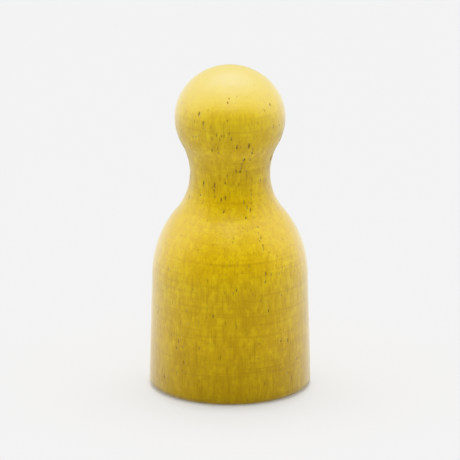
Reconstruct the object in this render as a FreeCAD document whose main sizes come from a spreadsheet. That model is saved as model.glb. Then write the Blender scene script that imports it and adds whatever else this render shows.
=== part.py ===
import FreeCAD, Part
import math
import os
import Sketcher

# A playing pawn for halma and ludo: a ball head, a waisted neck and a slightly tapered round body with
# soft shoulders, turned in one piece from a hardwood rod and covered by a thin coat of lacquer.
# The coat ends where the rim meets the flat base: there the end grain has soaked the lacquer up.
# Millimetres, +Z up. The origin is the centre of the base, on the surface that the pawn stands on.
# A shallow hollow runs across the base along X, so the pawn rests on the two flat lands beside it.

SIZES = {
    "base_diameter": 12.0,  # at its widest, just above the rounded rim
    "total_height": 24.4,
    "side_taper": 1.55,  # degrees that the straight side leans inwards
    "shoulder_radius": 7.5,
    "neck_diameter": 6.0,  # at its narrowest
    "neck_height": 16.25,  # of the narrowest place above the base
    "neck_radius": 4.7,  # of the hollow curve between shoulder and head
    "head_diameter": 8.25,
    "crown_edge_radius": 3.4,  # turns the ball into the slightly flatter top of the crown
    "rim_radius": 0.6,  # of the rounded edge round the base
    "hollow_radius": 7.45,  # of the round-bottomed hollow across the base
    "hollow_depth": 0.45,
    "coat_thickness": 0.1,
}

# The sketcher's numbers for the ends and the centre of a curve, its origin and its upright axis.
START, END, CENTRE = 1, 2, 3
ORIGIN, UPRIGHT = -1, -2


def make_sheet(doc):
    """The driving sizes, one row each: name and value."""
    sheet = doc.addObject("Spreadsheet::Sheet", "Sizes")
    for row, (name, value) in enumerate(SIZES.items(), start=1):
        sheet.set(f"A{row}", name)
        sheet.set(f"B{row}", str(value))
        sheet.setAlias(f"B{row}", name)
    doc.recompute()


def new_sketch(body, name, role):
    """An empty sketch on one of the body's own origin planes, such as XZ_Plane."""
    sketch = body.newObject("Sketcher::SketchObject", name)
    plane = next(plane for plane in body.Origin.OriginFeatures if plane.Role == role)
    sketch.AttachmentSupport = [(plane, "")]
    sketch.MapMode = "FlatFace"
    return sketch


def point(across, up):
    """A point of a sketch."""
    return FreeCAD.Vector(across, up, 0)


def arc(centre, radius, start, end):
    """An arc of a sketch that runs anticlockwise between two angles in degrees."""
    circle = Part.Circle(centre, FreeCAD.Vector(0, 0, 1), radius)
    return Part.ArcOfCircle(circle, math.radians(start), math.radians(end))


def dimension(sketch, name, kind, where, expression):
    """Adds a named dimension to a sketch and binds it to the sheet."""
    value = float(sketch.evalExpression(expression))
    if kind == "Angle":
        value = math.radians(value)
    index = sketch.addConstraint(Sketcher.Constraint(kind, *where, value))
    sketch.renameConstraint(index, name)
    sketch.setExpression(f"Constraints.{name}", expression)


def draw_outline(sketch):
    """Draws half the pawn's outline near its size: from the base up to the crown and down the axis."""
    base_radius = SIZES["base_diameter"] / 2
    head_radius = SIZES["head_diameter"] / 2
    rim_radius = SIZES["rim_radius"]
    rim = point(base_radius - rim_radius, rim_radius)
    shoulder = point(base_radius - SIZES["shoulder_radius"], SIZES["neck_height"] / 2)
    neck = point(SIZES["neck_diameter"] / 2 + SIZES["neck_radius"], SIZES["neck_height"])
    head = point(0, SIZES["total_height"] - head_radius)
    crown_edge = point(head_radius - SIZES["crown_edge_radius"], head.y)
    bottom = point(0, 0)
    top = point(0, SIZES["total_height"])
    return sketch.addGeometry(
        [
            Part.LineSegment(bottom, point(rim.x, 0)),
            arc(rim, rim_radius, -90, 0),
            Part.LineSegment(point(base_radius, rim.y), point(base_radius, shoulder.y)),
            arc(shoulder, SIZES["shoulder_radius"], 0, 40),
            arc(neck, SIZES["neck_radius"], 150, 220),
            arc(head, head_radius, -30, 0),
            arc(crown_edge, SIZES["crown_edge_radius"], 0, 25),
            arc(head, head_radius, 25, 90),
            Part.LineSegment(top, bottom),
        ]
    )


def turned_outline(body, inset):
    """Half the pawn's outline in the X-Z plane, moved inwards by the inset. Each curve touches the next."""
    sketch = new_sketch(body, f"{body.Name}_outline", "XZ_Plane")
    base, rim, side, shoulder, neck, head, crown_edge, crown, axis = draw_outline(sketch)
    sketch.addConstraint(
        [
            Sketcher.Constraint("Tangent", base, END, rim, START),
            Sketcher.Constraint("Tangent", rim, END, side, START),
            Sketcher.Constraint("Tangent", side, END, shoulder, START),
            Sketcher.Constraint("Tangent", shoulder, END, neck, END),
            Sketcher.Constraint("Tangent", neck, START, head, START),
            Sketcher.Constraint("Tangent", head, END, crown_edge, START),
            Sketcher.Constraint("Tangent", crown_edge, END, crown, START),
            Sketcher.Constraint("Coincident", crown, END, axis, START),
            Sketcher.Constraint("Coincident", axis, END, base, START),
            Sketcher.Constraint("Horizontal", base),
            Sketcher.Constraint("Horizontal", head, CENTRE, crown_edge, CENTRE),
            Sketcher.Constraint("PointOnObject", axis, START, UPRIGHT),
            Sketcher.Constraint("PointOnObject", axis, END, UPRIGHT),
            Sketcher.Constraint("PointOnObject", head, CENTRE, UPRIGHT),
            Sketcher.Constraint("PointOnObject", crown, CENTRE, UPRIGHT),
        ]
    )
    rim_centre = (ORIGIN, START, rim, CENTRE)
    neck_centre = (ORIGIN, START, neck, CENTRE)
    dimensions = [
        ("rim_across", "DistanceX", rim_centre, "Sizes.base_diameter / 2 - Sizes.rim_radius"),
        ("rim_up", "DistanceY", rim_centre, "Sizes.rim_radius"),
        ("lean", "Angle", (side,), "90 + Sizes.side_taper"),
        ("neck_across", "DistanceX", neck_centre, "Sizes.neck_diameter / 2 + Sizes.neck_radius"),
        ("neck_up", "DistanceY", neck_centre, "Sizes.neck_height"),
        ("top", "DistanceY", (ORIGIN, START, axis, START), f"Sizes.total_height - {inset}"),
        ("rim", "Radius", (rim,), f"Sizes.rim_radius - {inset}"),
        ("shoulder", "Radius", (shoulder,), f"Sizes.shoulder_radius - {inset}"),
        ("neck", "Radius", (neck,), f"Sizes.neck_radius + {inset}"),
        ("head", "Radius", (head,), f"Sizes.head_diameter / 2 - {inset}"),
        ("crown_edge", "Radius", (crown_edge,), f"Sizes.crown_edge_radius - {inset}"),
    ]
    for name, kind, where, expression in dimensions:
        dimension(sketch, name, kind, where, expression)
    return sketch


def make_turning(doc, name, inset):
    """A new body: a solid of revolution whose surface lies under the touched surface by the inset."""
    body = doc.addObject("PartDesign::Body", name)
    body.Label = name
    turning = body.newObject("PartDesign::Revolution", f"{name}_turning")
    outline = turned_outline(body, inset)
    turning.Profile = (outline, [""])
    turning.ReferenceAxis = (outline, ["V_Axis"])
    turning.Angle = 360
    doc.recompute()
    return body


def add_bare_base(doc, body):
    """Brings the wood down to the surface that the pawn stands on, all over the flat of the base."""
    sketch = new_sketch(body, f"{body.Name}_bare_base_outline", "XY_Plane")
    radius = SIZES["base_diameter"] / 2 - SIZES["rim_radius"]
    circle = sketch.addGeometry(Part.Circle(point(0, 0), FreeCAD.Vector(0, 0, 1), radius))
    sketch.addConstraint(Sketcher.Constraint("Coincident", circle, CENTRE, ORIGIN, START))
    dimension(sketch, "radius", "Radius", (circle,), "Sizes.base_diameter / 2 - Sizes.rim_radius")
    bare_base = body.newObject("PartDesign::Pad", f"{body.Name}_bare_base")
    bare_base.Profile = (sketch, [""])
    bare_base.setExpression("Length", "Sizes.coat_thickness")
    doc.recompute()


def add_hollow(doc, body):
    """Cuts the round-bottomed hollow straight across the base."""
    whole = body.Shape.Volume
    sketch = new_sketch(body, f"{body.Name}_hollow_outline", "YZ_Plane")
    radius = SIZES["hollow_radius"]
    below = point(0, SIZES["hollow_depth"] - radius)
    circle = sketch.addGeometry(Part.Circle(below, FreeCAD.Vector(0, 0, 1), radius))
    sketch.addConstraint(Sketcher.Constraint("PointOnObject", circle, CENTRE, UPRIGHT))
    centre = (circle, CENTRE, ORIGIN, START)
    dimension(sketch, "radius", "Radius", (circle,), "Sizes.hollow_radius")
    dimension(sketch, "below", "DistanceY", centre, "Sizes.hollow_radius - Sizes.hollow_depth")
    hollow = body.newObject("PartDesign::Pocket", f"{body.Name}_hollow")
    hollow.Profile = (sketch, [""])
    hollow.SideType = "Symmetric"
    hollow.Type = "Length"
    hollow.setExpression("Length", "2 * Sizes.base_diameter")
    doc.recompute()
    check_hollow(whole - body.Shape.Volume)


def check_hollow(removed):
    """Stops the build unless the hollow took away a slice of the base nearly as long as the base is wide."""
    radius = SIZES["hollow_radius"]
    depth = SIZES["hollow_depth"]
    half_width = math.sqrt(depth * (2 * radius - depth))
    section = radius ** 2 * math.asin(half_width / radius) - (radius - depth) * half_width
    whole = section * SIZES["base_diameter"]
    if not 0.9 * whole < removed < whole:
        raise RuntimeError(f"the hollow takes {removed:.2f} mm3, and {whole:.2f} mm3 is a whole slice")


def make_coat(doc, name, surface, wood):
    """The lacquer: all that lies between the touched surface and the wood under it."""
    coat = doc.addObject("Part::Cut", name)
    coat.Label = name
    coat.Base = surface
    coat.Tool = wood
    doc.recompute()
    return coat


def check(doc, parts):
    """Stops the build if anything failed or a part isn't a valid solid."""
    for thing in doc.Objects:
        if "Invalid" in thing.State or "Error" in thing.State:
            raise RuntimeError(f"{thing.Label}: {thing.State}")
        if thing.isDerivedFrom("Sketcher::SketchObject") and thing.solve() != 0:
            raise RuntimeError(f"{thing.Label}: the sketch has no solution")
    for part in parts:
        shape = part.Shape
        if shape.isNull() or not shape.isValid() or len(shape.Solids) != 1:
            raise RuntimeError(f"{part.Label}: not one valid solid")


def main():
    doc = FreeCAD.newDocument("halma_pawn")
    make_sheet(doc)
    wood = make_turning(doc, "turned_wood_body", "Sizes.coat_thickness")
    add_bare_base(doc, wood)
    add_hollow(doc, wood)
    surface = make_turning(doc, "touched_surface", "0")
    add_hollow(doc, surface)
    coat = make_coat(doc, "lacquer_coat", surface, wood)
    parts = [wood, coat]
    check(doc, parts)

    os.makedirs("parts", exist_ok=True)
    for part in parts:
        part.Shape.exportStep(f"parts/{part.Label}.step")
        box = part.Shape.optimalBoundingBox(False)
        print(f"{part.Label}: {part.Shape.Volume:.2f} mm3, {box.XLength:.2f} x {box.YLength:.2f} x {box.ZLength:.2f} mm")


main()
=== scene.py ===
import math

import bmesh
import bpy
import numpy as np
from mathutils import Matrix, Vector, noise


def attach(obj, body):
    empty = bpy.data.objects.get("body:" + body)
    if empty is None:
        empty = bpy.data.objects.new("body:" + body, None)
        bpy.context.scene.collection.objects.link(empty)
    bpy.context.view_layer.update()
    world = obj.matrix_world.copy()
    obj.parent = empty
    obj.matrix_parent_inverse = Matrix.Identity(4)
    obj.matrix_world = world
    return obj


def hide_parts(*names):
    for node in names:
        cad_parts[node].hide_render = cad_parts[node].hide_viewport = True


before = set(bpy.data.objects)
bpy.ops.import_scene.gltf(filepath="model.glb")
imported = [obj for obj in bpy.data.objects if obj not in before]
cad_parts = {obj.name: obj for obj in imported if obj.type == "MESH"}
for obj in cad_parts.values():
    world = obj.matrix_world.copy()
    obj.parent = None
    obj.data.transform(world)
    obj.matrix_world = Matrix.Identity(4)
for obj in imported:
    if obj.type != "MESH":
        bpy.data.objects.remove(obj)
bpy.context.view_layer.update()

# A lacquered wooden playing pawn. Lengths are in millimetres here, and METRES turns them into Blender's.
# +Z is up, -Y is the front, and the hollow across the base runs along X.
METRES = 0.001
BASE_RADIUS = 6.0
TOTAL_HEIGHT = 24.4
SIDE_TAPER = math.radians(1.55)
SHOULDER_RADIUS = 7.5
NECK_RADIUS = 4.7
NECK_HEIGHT = 16.25
NECK_NARROWEST = 3.0
HEAD_RADIUS = 4.125
CROWN_EDGE_RADIUS = 3.4
RIM_RADIUS = 0.6
HOLLOW_RADIUS = 7.45
HOLLOW_DEPTH = 0.45
COAT_THICKNESS = 0.1

# The coat's mesh: rings of columns, far finer on the touched side than on the side against the wood.
COLUMNS = 320
ROW_SPACING = 0.118
INNER_COLUMNS = 160
INNER_ROW_SPACING = 0.45
# Towards the top of the head the rings have half as many columns below each of these radii.
HALVING_RADII = (2.2, 1.1, 0.55, 0.28)
# The last ring lies this far along the outline from the middle of the crown.
POLE_GAP = 0.09
# Rows within this distance of the foot bend to follow the coat's lower edge.
EDGE_BLEND = 2.4
# The relief fades in over this distance from the lower edge.
EDGE_FADE = 0.3
# The lower edge is looked for over this distance from the foot, at this many places.
EDGE_SEARCH = 1.6
EDGE_STEPS = 1601


# --- the turned outline, from the foot of the rim up to the top of the head ---

CURVE_POINTS = 400


def arc_points(centre, radius, start, end, hollow=False):
    """Points along an arc and the directions that face out of the wood there."""
    angles = np.linspace(start, end, CURVE_POINTS)
    directions = np.column_stack([np.cos(angles), np.sin(angles)])
    facing = -directions if hollow else directions
    return np.array(centre) + radius * directions, facing


def outline():
    """The outline as rows of: distance along it, radius, height, and the outward direction's two parts."""
    side_facing = np.array([math.cos(SIDE_TAPER), math.sin(SIDE_TAPER)])
    side_upward = np.array([-math.sin(SIDE_TAPER), math.cos(SIDE_TAPER)])
    rim_centre = np.array([BASE_RADIUS - RIM_RADIUS, RIM_RADIUS])
    side_reach = rim_centre @ side_facing + RIM_RADIUS
    neck_centre = np.array([NECK_NARROWEST + NECK_RADIUS, NECK_HEIGHT])

    # The shoulder touches the side and the neck: its centre is this far up the side from the nearest point.
    across = neck_centre @ side_facing - (side_reach - SHOULDER_RADIUS)
    along = neck_centre @ side_upward
    up_the_side = along - math.sqrt((SHOULDER_RADIUS + NECK_RADIUS) ** 2 - across**2)
    shoulder_centre = (side_reach - SHOULDER_RADIUS) * side_facing + up_the_side * side_upward
    to_neck = neck_centre - shoulder_centre
    shoulder_end = math.atan2(to_neck[1], to_neck[0])

    head_height = NECK_HEIGHT + math.sqrt((HEAD_RADIUS + NECK_RADIUS) ** 2 - neck_centre[0] ** 2)
    head_start = math.atan2(NECK_HEIGHT - head_height, neck_centre[0])

    # The crown touches the crown's edge from outside and reaches the total height on the axis.
    edge_offset = HEAD_RADIUS - CROWN_EDGE_RADIUS
    rise = TOTAL_HEIGHT - head_height
    crown_radius = (rise**2 + edge_offset**2 - CROWN_EDGE_RADIUS**2) / (2 * (rise - CROWN_EDGE_RADIUS))
    crown_height = TOTAL_HEIGHT - crown_radius
    edge_end = math.atan2(head_height - crown_height, edge_offset)

    side_start = rim_centre + RIM_RADIUS * side_facing
    side_end = shoulder_centre + SHOULDER_RADIUS * side_facing
    fractions = np.linspace(0, 1, CURVE_POINTS)[:, None]
    side = side_start + fractions * (side_end - side_start)
    pieces = [
        arc_points(rim_centre, RIM_RADIUS, -math.pi / 2, SIDE_TAPER),
        (side, np.tile(side_facing, (len(side), 1))),
        arc_points(shoulder_centre, SHOULDER_RADIUS, SIDE_TAPER, shoulder_end),
        arc_points(neck_centre, NECK_RADIUS, shoulder_end + math.pi, head_start + math.pi, hollow=True),
        arc_points((0, head_height), HEAD_RADIUS, head_start, 0),
        arc_points((edge_offset, head_height), CROWN_EDGE_RADIUS, 0, edge_end),
        arc_points((0, crown_height), crown_radius, edge_end, math.pi / 2),
    ]
    points = np.vstack([piece[0] for piece in pieces])
    facing = np.vstack([piece[1] for piece in pieces])
    steps = np.linalg.norm(np.diff(points, axis=0), axis=1)
    distance = np.concatenate([[0], np.cumsum(steps)])
    return np.column_stack([distance, points, facing])


OUTLINE = outline()
OUTLINE_LENGTH = OUTLINE[-1, 0]


def at(distance):
    """Radius, height and outward direction of the outline at distances along it."""
    return [np.interp(distance, OUTLINE[:, 0], OUTLINE[:, column]) for column in (1, 2, 3, 4)]


def hollow_height(y):
    """How high the roof of the hollow is at a distance from its middle line, and below zero outside it."""
    inside = np.clip(HOLLOW_RADIUS**2 - y**2, 0, None)
    return np.sqrt(inside) - (HOLLOW_RADIUS - HOLLOW_DEPTH)


def lower_edge(angles):
    """How far along the outline the coat starts at each angle: at the flat base or at the hollow's mouth."""
    distance = np.linspace(0, EDGE_SEARCH, EDGE_STEPS)
    radius, height, _, _ = at(distance)
    y = radius[None, :] * np.sin(angles)[:, None]
    free = height[None, :] >= hollow_height(y)
    return distance[np.argmax(free, axis=1)]


def turn_from(angles, start):
    """How far each angle has turned from a start, between half a turn back and half a turn on."""
    return (angles - start + math.pi) % (2 * math.pi) - math.pi


# --- the pores, which the lacquer follows down into ---

# Groups of open pores: angle round the pawn and its spread in degrees (-90 is the front), height and its
# spread, how many, and the half width of the smallest and the largest.
PORE_GROUPS = [
    (-73, 11, 18.0, 1.5, 15, 0.04, 0.08),
    (-104, 10, 15.2, 1.2, 9, 0.04, 0.08),
    (-80, 22, 14.2, 0.8, 8, 0.03, 0.07),
    (-98, 30, 19.6, 0.9, 12, 0.03, 0.07),
    (-124, 8, 20.2, 0.6, 5, 0.03, 0.07),
    (-62, 1.3, 10.4, 3.4, 22, 0.03, 0.06),
    (-49, 1.5, 7.2, 3.6, 12, 0.03, 0.05),
    (-88, 3.0, 8.2, 4.4, 12, 0.03, 0.05),
    (-112, 16, 6.5, 4.6, 14, 0.03, 0.05),
    (-128, 3, 4.6, 2.6, 8, 0.03, 0.06),
    (40, 24, 17.0, 1.6, 10, 0.05, 0.11),
    (62, 1.4, 8.6, 3.8, 12, 0.05, 0.08),
    (140, 20, 14.2, 1.1, 7, 0.05, 0.11),
    (170, 1.6, 6.5, 3.4, 9, 0.05, 0.08),
    (-8, 16, 18.6, 1.0, 6, 0.05, 0.10),
    (0, 180, 12.0, 11.0, 160, 0.025, 0.06),
    (0, 180, 22.4, 1.4, 26, 0.03, 0.07),
]
PORE_DEPTH = 0.05
# The walls of a pore slope down over this much of its width.
PORE_WALL = 0.05
# The field of a pore ends this far outside it.
PORE_REACH = 0.3
# No two pores have their middles closer than this.
PORE_SPACING = 0.28


def scattered_pores():
    """Every pore as: angle round the pawn, distance along the outline, half width and half length."""
    random = np.random.default_rng(12)
    pores = []
    for angle, angle_spread, height, height_spread, count, smallest, largest in PORE_GROUPS:
        for _ in range(count):
            there = math.radians(angle + angle_spread * random.uniform(-1, 1))
            up = np.clip(height + height_spread * random.uniform(-1, 1), 1.0, TOTAL_HEIGHT - 0.1)
            half_width = random.uniform(smallest, largest)
            distance = np.interp(up, OUTLINE[:, 2], OUTLINE[:, 0])
            radius, _, _, upward = at(distance)
            # A pore is a tube along the grain, so a surface along the grain cuts it to a long slot.
            stretch = 1 / max(abs(upward), 1 / random.uniform(1.6, 3.6))
            gaps = [math.hypot((there - other[0]) * radius, distance - other[1]) for other in pores]
            if min(gaps, default=PORE_SPACING) >= PORE_SPACING:
                pores.append((there, distance, half_width, half_width * stretch))
    return pores


PORES = scattered_pores()


def pore_field(angles, distances, radii):
    """How far inside the nearest pore each point is: above zero inside, below zero outside."""
    field = np.full(angles.shape, -PORE_REACH)
    for there, distance, half_width, half_length in PORES:
        along = distances - distance
        across = turn_from(angles, there) * radii
        reach = half_length + PORE_REACH
        near = (np.abs(along) < reach) & (np.abs(across) < reach)
        shape = np.sqrt((across[near] / half_width) ** 2 + (along[near] / half_length) ** 2)
        field[near] = np.maximum(field[near], (1 - shape) * half_width)
    return np.clip(field, -PORE_REACH, None)


# --- small unevenness of the surface, all of it inwards from the outline ---

# Knocks on the rim: angle in degrees, height, radius and depth.
KNOCKS = [
    (-71, 0.5, 0.7, 0.03),
    (-131, 0.9, 0.5, 0.02),
    (25, 0.4, 0.8, 0.03),
    (118, 0.7, 0.6, 0.03),
]
FINE_LINE_SPACING = 0.19
FINE_LINE_DEPTH = 0.006
BROAD_LINE_SPACING = 1.3
BROAD_LINE_DEPTH = 0.010
GRAIN_DEPTH = 0.006
SKIN_DEPTH = 0.003
MOST_UNEVENNESS = 0.045


def turning_lines(distance):
    """The marks of the turning chisel: shallow grooves all the way round, none quite like the next."""
    random = np.random.default_rng(5)
    along = np.arange(0, OUTLINE_LENGTH + 1, FINE_LINE_SPACING)
    fine = np.interp(distance, along, random.uniform(0, 1, len(along)))
    along = np.arange(0, OUTLINE_LENGTH + 3, BROAD_LINE_SPACING)
    broad = np.interp(distance, along, random.uniform(0, 1, len(along)))
    return FINE_LINE_DEPTH * fine + BROAD_LINE_DEPTH * broad


def unevenness(points, angles, distances):
    """How far each point lies under the outline, before the pores: turning lines, grain and knocks."""
    depth = turning_lines(distances)
    for index, (x, y, z) in enumerate(points):
        grain = noise.fractal(Vector((x * 1.9, y * 1.9, z * 0.16)), 0.8, 2.0, 3)
        skin = noise.noise(Vector((x * 2.3 + 31, y * 2.3, z * 2.3)))
        depth[index] += GRAIN_DEPTH * (1 + grain) + SKIN_DEPTH * (1 + skin)
    for angle, height, radius, deep in KNOCKS:
        centre_distance = np.interp(height, OUTLINE[:, 2], OUTLINE[:, 0])
        centre_radius, _, _, _ = at(centre_distance)
        across = turn_from(angles, math.radians(angle)) * centre_radius
        away = np.hypot(across, distances - centre_distance) / radius
        depth += deep * np.clip(1 - away**2, 0, None) ** 2
    return np.clip(depth, 0, MOST_UNEVENNESS)


# --- the lacquer coat: a closed shell, with one side on the wood, that leaves the base bare ---


def outline_ring(count, distance_of_angle):
    """A ring on the outline: its angles, distances along it, radii, points and outward directions."""
    angles = np.arange(count) * 2 * math.pi / count
    distances = distance_of_angle(angles)
    radii, heights, outward, upward = at(distances)
    around = np.column_stack([np.cos(angles), np.sin(angles)])
    points = np.column_stack([around * radii[:, None], heights])
    facing = np.column_stack([around * outward[:, None], upward])
    return angles, distances, radii, points, facing


def outer_ring(count, distance_of_angle):
    """One ring of the touched surface: its points and their pore field."""
    angles, distances, radii, points, facing = outline_ring(count, distance_of_angle)
    pores = pore_field(angles, distances, radii)
    depth = unevenness(points, angles, distances)
    depth += PORE_DEPTH * np.clip(pores / PORE_WALL, 0, 1)
    # At its lower edge the coat keeps to the outline, flush with the wood.
    depth *= np.clip((distances - lower_edge(angles)) / EDGE_FADE, 0, 1)
    return points - facing * depth[:, None], pores


def inner_ring(count, distance_of_angle):
    """One ring of the surface that lies on the wood, one coat thickness below the outline."""
    _, _, _, points, facing = outline_ring(count, distance_of_angle)
    return points - facing * COAT_THICKNESS, np.full(count, -PORE_REACH)


def columns_at(distance, columns):
    """How many columns a ring has: fewer near the top of the head."""
    radius = at(distance)[0]
    for limit in HALVING_RADII:
        if distance > OUTLINE_LENGTH / 2 and radius < limit:
            columns //= 2
    return columns


def row_distances(spacing):
    """Distances along the outline from its foot to near the top of the head."""
    count = round((OUTLINE_LENGTH - POLE_GAP) / spacing)
    return np.linspace(0, OUTLINE_LENGTH - POLE_GAP, count + 1)


def follow_edge(distance):
    """Near the base a row bends to run along the coat's edge; higher up it is level."""

    def along(angles):
        if distance >= EDGE_BLEND:
            return np.full(angles.shape, distance)
        edge = lower_edge(angles)
        return edge + distance * (EDGE_BLEND - edge) / EDGE_BLEND

    return along


def join_rings(faces, first, first_count, second, second_count):
    """Fills the band between two rings with equal counts, or where one has twice the other's."""
    for j in range(min(first_count, second_count)):
        if first_count == second_count:
            k = (j + 1) % first_count
            faces.append((first + j, first + k, second + k, second + j))
        elif first_count > second_count:
            a, b, c = first + 2 * j, first + 2 * j + 1, first + (2 * j + 2) % first_count
            d, e = second + j, second + (j + 1) % second_count
            faces.extend([(a, b, d), (b, e, d), (b, c, e)])
        else:
            a, b = first + j, first + (j + 1) % first_count
            c, d, e = second + 2 * j, second + 2 * j + 1, second + (2 * j + 2) % second_count
            faces.extend([(a, d, c), (a, b, d), (b, e, d)])


def make_coat():
    """The coat's mesh: inner pole, inner rings downwards, the edge, outer rings upwards, outer pole."""
    rings = []
    for distance in row_distances(INNER_ROW_SPACING)[::-1]:
        rings.append(inner_ring(columns_at(distance, INNER_COLUMNS), follow_edge(distance)))
    for distance in row_distances(ROW_SPACING):
        rings.append(outer_ring(columns_at(distance, COLUMNS), follow_edge(distance)))
    inner_pole = np.array([[0, 0, TOTAL_HEIGHT - COAT_THICKNESS]])
    outer_pole = np.array([[0, 0, TOTAL_HEIGHT]])
    points = np.vstack([inner_pole, *[ring[0] for ring in rings], outer_pole])
    pores = np.concatenate([[-PORE_REACH], *[ring[1] for ring in rings], [-PORE_REACH]])

    faces = []
    counts = [len(ring[0]) for ring in rings]
    starts = np.concatenate([[1], 1 + np.cumsum(counts)]).tolist()
    for j in range(counts[0]):
        faces.append((0, 1 + (j + 1) % counts[0], 1 + j))
    for first, first_count, second, second_count in zip(starts, counts, starts[1:], counts[1:]):
        join_rings(faces, first, first_count, second, second_count)
    top = len(points) - 1
    for j in range(counts[-1]):
        faces.append((starts[-2] + j, starts[-2] + (j + 1) % counts[-1], top))

    mesh = bpy.data.meshes.new("lacquer")
    mesh.from_pydata((points * METRES).tolist(), [], faces)
    mesh.validate()
    mesh.shade_smooth()
    mesh.set_sharp_from_angle(angle=math.radians(60))
    mesh.attributes.new("pore", "FLOAT", "POINT").data.foreach_set("value", pores)
    coat = bpy.data.objects.new("lacquer", mesh)
    bpy.context.scene.collection.objects.link(coat)
    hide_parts("lacquer_coat")
    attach(coat, "root")
    return coat


# --- the wood ---

# A face smaller than this, in square metres, is only a line.
SMALLEST_FACE = 1e-14


def make_wood():
    """The wood's own CAD shape, without the line-thin face that meshing leaves at the tip of the crown."""
    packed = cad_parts["turned_wood_body"]
    shape = bmesh.new()
    shape.from_mesh(packed.data)
    lines = [face for face in shape.faces if face.calc_area() < SMALLEST_FACE]
    bmesh.ops.delete(shape, geom=lines, context="FACES_ONLY")
    mesh = bpy.data.meshes.new("turned_wood")
    shape.to_mesh(mesh)
    shape.free()
    mesh.transform(packed.matrix_world)
    mesh.set_sharp_from_angle(angle=math.radians(30))
    wood = bpy.data.objects.new("turned_wood", mesh)
    bpy.context.scene.collection.objects.link(wood)
    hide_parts("turned_wood_body")
    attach(wood, "root")
    return wood


# --- materials ---


class Nodes:
    """A short way to write a material's node tree."""

    def __init__(self, name):
        self.material = bpy.data.materials.new(name)
        self.material.use_nodes = True
        self.tree = self.material.node_tree
        self.shader = self.tree.nodes["Principled BSDF"]

    def add(self, kind, inputs=None, **settings):
        """A node with its settings, and its inputs set to numbers or linked to other nodes' outputs."""
        node = self.tree.nodes.new("ShaderNode" + kind)
        for key, value in settings.items():
            setattr(node, key, value)
        for key, value in (inputs or {}).items():
            self.put(node.inputs[key], value)
        return node

    def shade(self, name, value):
        """Sets or links one of the shader's own inputs."""
        self.put(self.shader.inputs[name], value)

    def put(self, socket, value):
        """Sets a socket to a number, or links it to an output."""
        if isinstance(value, bpy.types.NodeSocket):
            self.tree.links.new(value, socket)
        else:
            socket.default_value = value

    def place(self, scale, offset=(0, 0, 0)):
        """Positions on the pawn in features per millimetre, one number per axis."""
        here = self.add("TexCoord").outputs["Object"]
        per_metre = [value / METRES for value in scale]
        moved = self.add("Mapping", {"Vector": here, "Scale": per_metre, "Location": offset})
        return moved.outputs["Vector"]

    def noise(self, scale, detail=2.0, roughness=0.5, offset=(0, 0, 0)):
        """Cloudy noise from 0 to 1."""
        inputs = {"Vector": self.place(scale, offset), "Scale": 1.0, "Detail": detail, "Roughness": roughness}
        return self.add("TexNoise", inputs).outputs["Fac"]

    def ramp(self, value, low, high, to_low=0.0, to_high=1.0):
        """A value's range turned into another range, and held at its ends."""
        inputs = {"Value": value, "From Min": low, "From Max": high, "To Min": to_low, "To Max": to_high}
        return self.add("MapRange", inputs).outputs["Result"]

    def math(self, operation, first, second):
        """One step of arithmetic with two values."""
        node = self.add("Math", operation=operation)
        self.put(node.inputs[0], first)
        self.put(node.inputs[1], second)
        return node.outputs[0]

    def mix(self, amount, first, second, blend="MIX"):
        """Two colours mixed."""
        node = self.add("Mix", data_type="RGBA", blend_type=blend)
        self.put(node.inputs[0], amount)
        self.put(node.inputs[6], first)
        self.put(node.inputs[7], second)
        return node.outputs[2]

    def bump(self, height, depth, normal=None):
        """Relief of a depth in millimetres, on top of other relief."""
        inputs = {"Height": height, "Distance": depth * METRES, "Strength": 1.0}
        if normal is not None:
            inputs["Normal"] = normal
        return self.add("Bump", inputs).outputs["Normal"]


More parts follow.
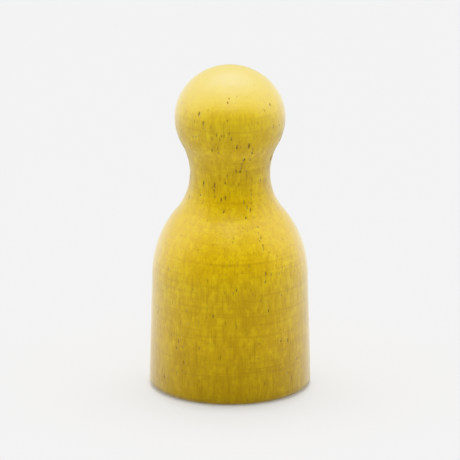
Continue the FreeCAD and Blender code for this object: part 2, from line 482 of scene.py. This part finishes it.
def lacquer_material():
    """Matt yellow lacquer, thin enough to show the grain, the turning lines and the pores of the wood."""
    nodes = Nodes("matt yellow lacquer")
    streaks = nodes.noise((2.6, 2.6, 0.22), detail=4.0, roughness=0.6)
    fine_streaks = nodes.noise((8.0, 8.0, 0.9), detail=3.0, roughness=0.6, offset=(5, 2, 0))
    clouds = nodes.noise((0.35, 0.35, 0.3), detail=2.0, offset=(3, 7, 1))
    mottle = nodes.noise((1.7, 1.7, 1.3), detail=5.0, roughness=0.7, offset=(1, 4, 9))
    lines = nodes.noise((0.12, 0.12, 3.6), detail=3.0, roughness=0.7, offset=(8, 1, 2))
    peel = nodes.noise((3.2, 3.2, 3.2), detail=2.0, offset=(2, 9, 6))

    # Wide pores from the mesh, with ragged edges, and a sprinkling of fine ones between them.
    inside = nodes.add("Attribute", attribute_name="pore").outputs["Fac"]
    ragged = nodes.ramp(nodes.noise((14, 14, 9), detail=2.0), 0.3, 0.7, -0.03, 0.03)
    wide_pore = nodes.ramp(nodes.math("ADD", inside, ragged), -0.012, 0.02)
    cells = nodes.add("TexVoronoi", {"Vector": nodes.place((3.1, 3.1, 0.9)), "Scale": 1.0})
    cell_number = nodes.add("SeparateColor", {"Color": cells.outputs["Color"]}).outputs[0]
    chosen = nodes.ramp(cell_number, 0.62, 0.66)
    small = nodes.ramp(cells.outputs["Distance"], 0.10, 0.20, 1.0, 0.0)
    fine_pore = nodes.math("MULTIPLY", nodes.math("MULTIPLY", chosen, small), 0.5)
    pore = nodes.math("MAXIMUM", wide_pore, fine_pore)

    yellow = (0.90, 0.640, 0.002, 1)
    deeper = (0.72, 0.455, 0.001, 1)
    paler = (1.0, 0.770, 0.006, 1)
    brown = (0.40, 0.180, 0.003, 1)
    # Multipliers for painted shade towards the foot.
    painted_foot_shade = (0.86, 0.80, 0.60, 1)
    painted_contact_shade = (0.86, 0.88, 1.0, 1)
    # A pale tint for the painted highlight on the crown.
    painted_crown_highlight = (1.0, 0.85, 0.20, 1)
    colour = nodes.mix(nodes.ramp(clouds, 0.35, 0.7, 0.0, 0.4), yellow, deeper)
    colour = nodes.mix(nodes.ramp(streaks, 0.45, 0.75, 0.0, 0.6), colour, deeper)
    colour = nodes.mix(nodes.ramp(mottle, 0.45, 0.70, 0.0, 0.95), colour, paler)
    colour = nodes.mix(nodes.ramp(fine_streaks, 0.50, 0.72, 0.0, 0.75), colour, deeper)
    colour = nodes.mix(nodes.ramp(lines, 0.50, 0.72, 0.0, 0.55), colour, deeper)
    # Painted shade: the colour darkens towards the foot, as shade falls there near the floor.
    height = nodes.add("SeparateXYZ", {"Vector": nodes.place((1, 1, 1))}).outputs["Z"]
    colour = nodes.mix(nodes.ramp(height, 0.5, 11.0, 0.9, 0.0), colour, painted_foot_shade, "MULTIPLY")
    colour = nodes.mix(nodes.ramp(height, 0.5, 4.5, 0.8, 0.0), colour, painted_contact_shade, "MULTIPLY")
    # Painted highlight: the crown is paled towards cream, as the light from above makes it look.
    colour = nodes.mix(nodes.ramp(height, 19.5, 24.4, 0.0, 0.65), colour, painted_crown_highlight)
    colour = nodes.mix(nodes.math("MULTIPLY", pore, 0.8), colour, brown)
    nodes.shade("Base Color", colour)

    roughness = nodes.ramp(mottle, 0.3, 0.7, 0.38, 0.48)
    pore_roughness = nodes.math("MULTIPLY", pore, 0.8)
    nodes.shade("Roughness", nodes.math("MAXIMUM", roughness, pore_roughness))
    nodes.shade("Specular IOR Level", 1.0)
    nodes.shade("Sheen Weight", 1.0)
    nodes.shade("Sheen Roughness", 0.55)

    relief = nodes.bump(fine_streaks, 0.012)
    relief = nodes.bump(lines, 0.014, relief)
    relief = nodes.bump(peel, 0.008, relief)
    relief = nodes.bump(nodes.math("SUBTRACT", 1.0, pore), 0.03, relief)
    nodes.shade("Normal", relief)
    return nodes.material


def wood_material():
    """End grain at the base, stained yellow by the lacquer that soaked in: growth rings and pores."""
    nodes = Nodes("stained end grain")
    rings_inputs = {
        "Vector": nodes.place((0.45, 0.45, 0.02), offset=(6.5, 3.0, 0)),
        "Scale": 1.0,
        "Distortion": 1.2,
        "Detail": 2.0,
    }
    rings = nodes.add("TexWave", rings_inputs, wave_type="RINGS", rings_direction="Z").outputs["Fac"]
    mottle = nodes.noise((1.4, 1.4, 1.0), detail=3.0)
    cells = nodes.add("TexVoronoi", {"Vector": nodes.place((4.5, 4.5, 0.5)), "Scale": 1.0})
    pore = nodes.ramp(cells.outputs["Distance"], 0.10, 0.2, 0.8, 0.0)

    early_wood = (0.76, 0.50, 0.02, 1)
    late_wood = (0.60, 0.36, 0.015, 1)
    paler = (0.82, 0.58, 0.04, 1)
    brown = (0.24, 0.11, 0.012, 1)
    colour = nodes.mix(nodes.ramp(rings, 0.2, 0.9, 0.0, 0.5), early_wood, late_wood)
    colour = nodes.mix(nodes.ramp(mottle, 0.4, 0.7, 0.0, 0.4), colour, paler)
    colour = nodes.mix(nodes.math("MULTIPLY", pore, 0.6), colour, brown)
    nodes.shade("Base Color", colour)
    nodes.shade("Roughness", nodes.ramp(mottle, 0.3, 0.7, 0.62, 0.76))
    nodes.shade("Specular IOR Level", 0.25)
    relief = nodes.bump(nodes.math("SUBTRACT", 1.0, pore), 0.03)
    relief = nodes.bump(mottle, 0.02, relief)
    nodes.shade("Normal", relief)
    return nodes.material


def floor_material():
    """Plain white card with a little light of its own, like a light table, so that shadows stay faint."""
    nodes = Nodes("white card")
    fibres = nodes.noise((0.5, 0.5, 0.5), detail=3.0)
    nodes.shade("Base Color", (0.43, 0.43, 0.433, 1))
    nodes.shade("Emission Color", (1, 1, 1, 1))
    nodes.shade("Emission Strength", 0.235)
    nodes.shade("Roughness", nodes.ramp(fibres, 0.3, 0.7, 0.7, 0.78))
    nodes.shade("Specular IOR Level", 0.15)
    return nodes.material


# --- floor, lights and camera, in metres ---


def make_floor():
    """A wide flat floor, level with the lands that the pawn stands on."""
    reach = 3.0
    corners = [(-reach, -reach, 0), (reach, -reach, 0), (reach, reach, 0), (-reach, reach, 0)]
    mesh = bpy.data.meshes.new("floor")
    mesh.from_pydata(corners, [], [(0, 1, 2, 3)])
    mesh.materials.append(floor_material())
    floor = bpy.data.objects.new("floor", mesh)
    bpy.context.scene.collection.objects.link(floor)
    # The floor lights the pawn but isn't mirrored in its lacquer, as if the studio in front were dark.
    floor.visible_glossy = False


def aim(thing, direction):
    """Turns a lamp or camera to look along a direction."""
    thing.rotation_euler = Vector(direction).to_track_quat("-Z", "Y").to_euler()


def towards(azimuth, elevation):
    """The direction of a place round the pawn: azimuth 0 is behind it and 90 is to its right."""
    azimuth = math.radians(azimuth)
    elevation = math.radians(elevation)
    level = math.cos(elevation)
    return Vector((level * math.sin(azimuth), level * math.cos(azimuth), math.sin(elevation)))


# Each soft light: azimuth, elevation, how wide it looks from the pawn in degrees, and its strength.
LIGHTS = {
    "behind_left": (-28, 65, 38, 1.16),
    "behind_right": (28, 65, 38, 1.16),
    "overhead": (180, 80, 40, 0.44),
    "front": (180, 56, 40, 0.51),
    "left": (-90, 42, 60, 0.78),
    "right": (90, 42, 60, 0.74),
}


def make_lights():
    """Soft studio light from above and all round, with a white backdrop that adds none."""
    for name, (azimuth, elevation, width, strength) in LIGHTS.items():
        lamp = bpy.data.lights.new(name, "SUN")
        lamp.angle = math.radians(width)
        lamp.energy = strength
        light = bpy.data.objects.new(name, lamp)
        bpy.context.scene.collection.objects.link(light)
        aim(light, -towards(azimuth, elevation))

    world = bpy.data.worlds.new("backdrop")
    world.use_nodes = True
    background = world.node_tree.nodes["Background"]
    background.inputs["Color"].default_value = (1, 1, 1, 1)
    background.inputs["Strength"].default_value = 0.76
    world.cycles_visibility.diffuse = False
    world.cycles_visibility.glossy = False
    bpy.context.scene.world = world


def make_camera():
    """A long lens in front of the pawn that looks down on the table at a shallow angle."""
    distance = 0.8
    frame_height = 0.0340
    middle = Vector((0, 0, 0.0118))
    backwards = towards(180, 17)
    data = bpy.data.cameras.new("camera")
    data.lens = data.sensor_width / 2 / (frame_height / 2 / distance)
    data.clip_start = 0.01
    data.clip_end = 20
    camera = bpy.data.objects.new("camera", data)
    bpy.context.scene.collection.objects.link(camera)
    camera.location = middle + distance * backwards
    aim(camera, -backwards)
    bpy.context.scene.camera = camera


make_camera()
coat = make_coat()
coat.data.materials.append(lacquer_material())
wood = make_wood()
wood.data.materials.append(wood_material())
make_floor()
make_lights()
bpy.context.scene.view_settings.view_transform = "Khronos PBR Neutral"
bpy.context.scene.view_settings.look = "High Contrast"
